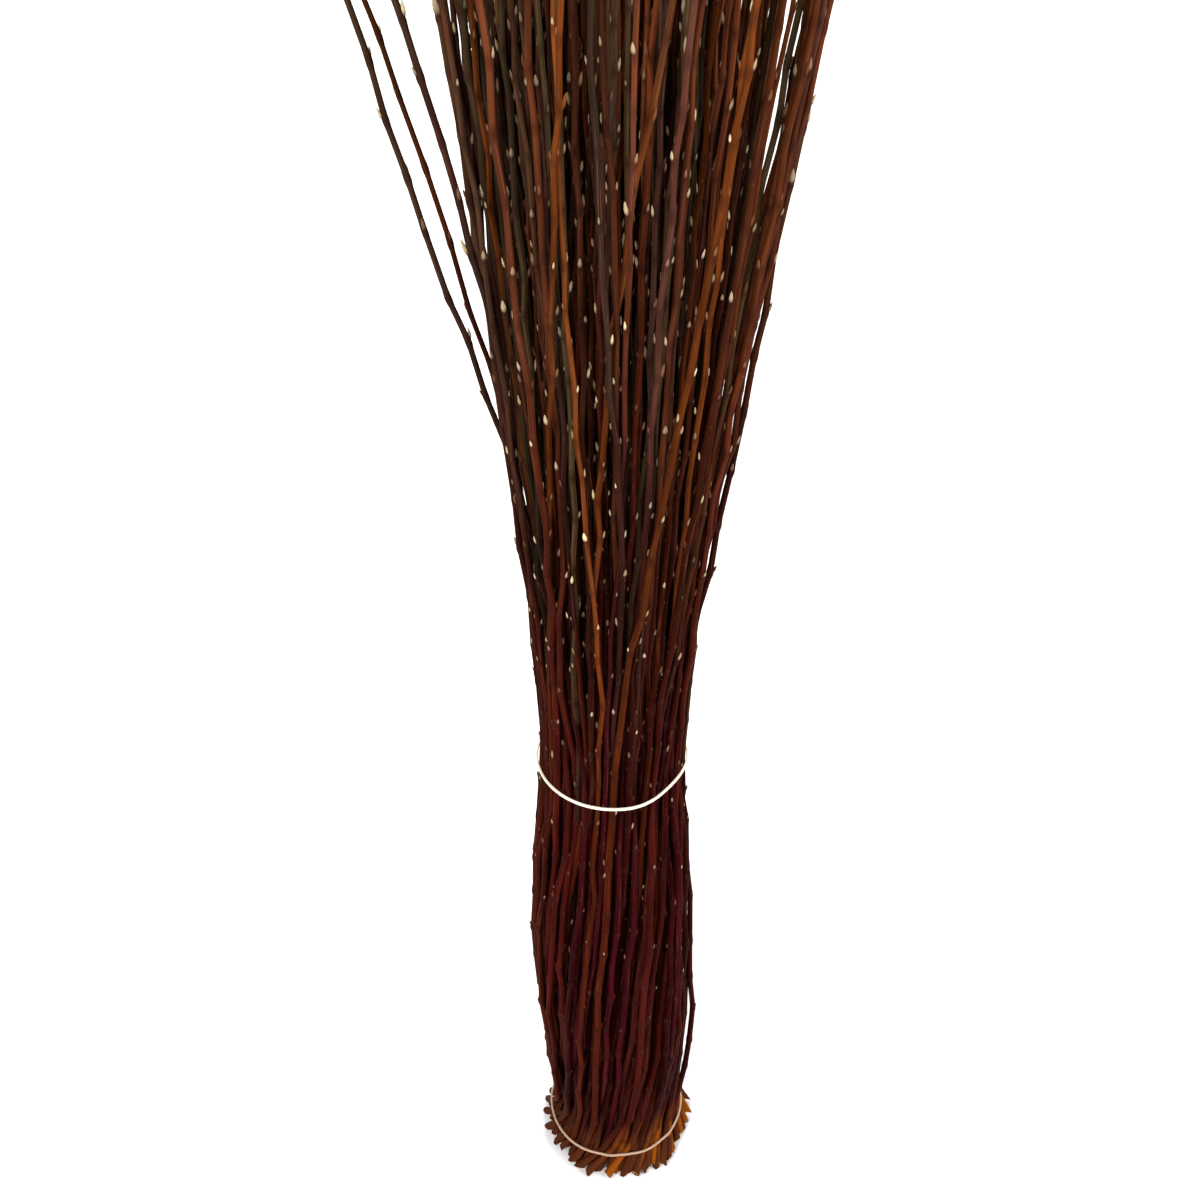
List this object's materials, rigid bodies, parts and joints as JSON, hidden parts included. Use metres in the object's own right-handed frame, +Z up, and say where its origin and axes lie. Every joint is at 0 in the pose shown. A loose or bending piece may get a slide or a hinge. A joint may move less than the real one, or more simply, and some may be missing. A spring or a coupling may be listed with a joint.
{
  "type": "twig bundle",
  "caption": "Tall upright bundle of dried willow rods, tied near its evened cut ends and a third of the way up, fanning out to thin tips.",
  "frame": {"origin": "on the surface it stands on, in the middle of the cut ends", "axes": "+Z up along the rods, -Y towards the front, +X to the right as seen from the front"},
  "size_m": [0.2925, 0.2119, 1.2001],
  "materials": {
    "bark_maroon": "dried willow bark, dark maroon, satin",
    "bark_red": "dried willow bark, red-brown, satin",
    "bark_orange": "dried willow bark, orange-brown, satin",
    "bark_olive": "dried willow bark, olive-brown, satin",
    "rubber": "smooth cream natural rubber band"
  },
  "bodies": {
    "root": {"rod_01": "bark_maroon", "rod_02": "bark_red", "rod_03": "bark_maroon", "rod_04": "bark_red", "rod_05": "bark_olive", "rod_06": "bark_red", "rod_07": "bark_orange", "rod_08": "bark_maroon", "rod_09": "bark_red", "rod_10": "bark_maroon", "rod_11": "bark_red", "rod_12": "bark_olive", "rod_13": "bark_red", "rod_14": "bark_orange", "rod_15": "bark_maroon", "rod_16": "bark_red", "rod_17": "bark_maroon", "rod_18": "bark_red", "rod_19": "bark_olive", "rod_20": "bark_red", "rod_21": "bark_orange", "rod_22": "bark_maroon", "rod_23": "bark_red", "rod_24": "bark_maroon", "rod_25": "bark_red", "rod_26": "bark_olive", "rod_27": "bark_orange", "rod_28": "bark_orange", "rod_29": "bark_maroon", "rod_30": "bark_red", "rod_31": "bark_maroon", "rod_32": "bark_red", "rod_33": "bark_orange", "rod_34": "bark_red", "rod_35": "bark_orange", "rod_36": "bark_maroon", "rod_37": "bark_red", "rod_38": "bark_maroon", "rod_39": "bark_red", "rod_40": "bark_olive", "rod_41": "bark_red", "rod_42": "bark_orange", "rod_43": "bark_maroon", "rod_44": "bark_red", "rod_45": "bark_maroon", "rod_46": "bark_red", "rod_47": "bark_olive", "rod_48": "bark_red", "rod_49": "bark_orange", "rod_50": "bark_maroon", "rod_51": "bark_red", "rod_52": "bark_maroon", "rod_53": "bark_red", "rod_54": "bark_olive", "rod_55": "bark_red", "rod_56": "bark_orange", "rod_57": "bark_maroon", "inner_rods": "bark_maroon", "lower_band": "rubber", "upper_band": "rubber"}
  },
  "joints": []
}
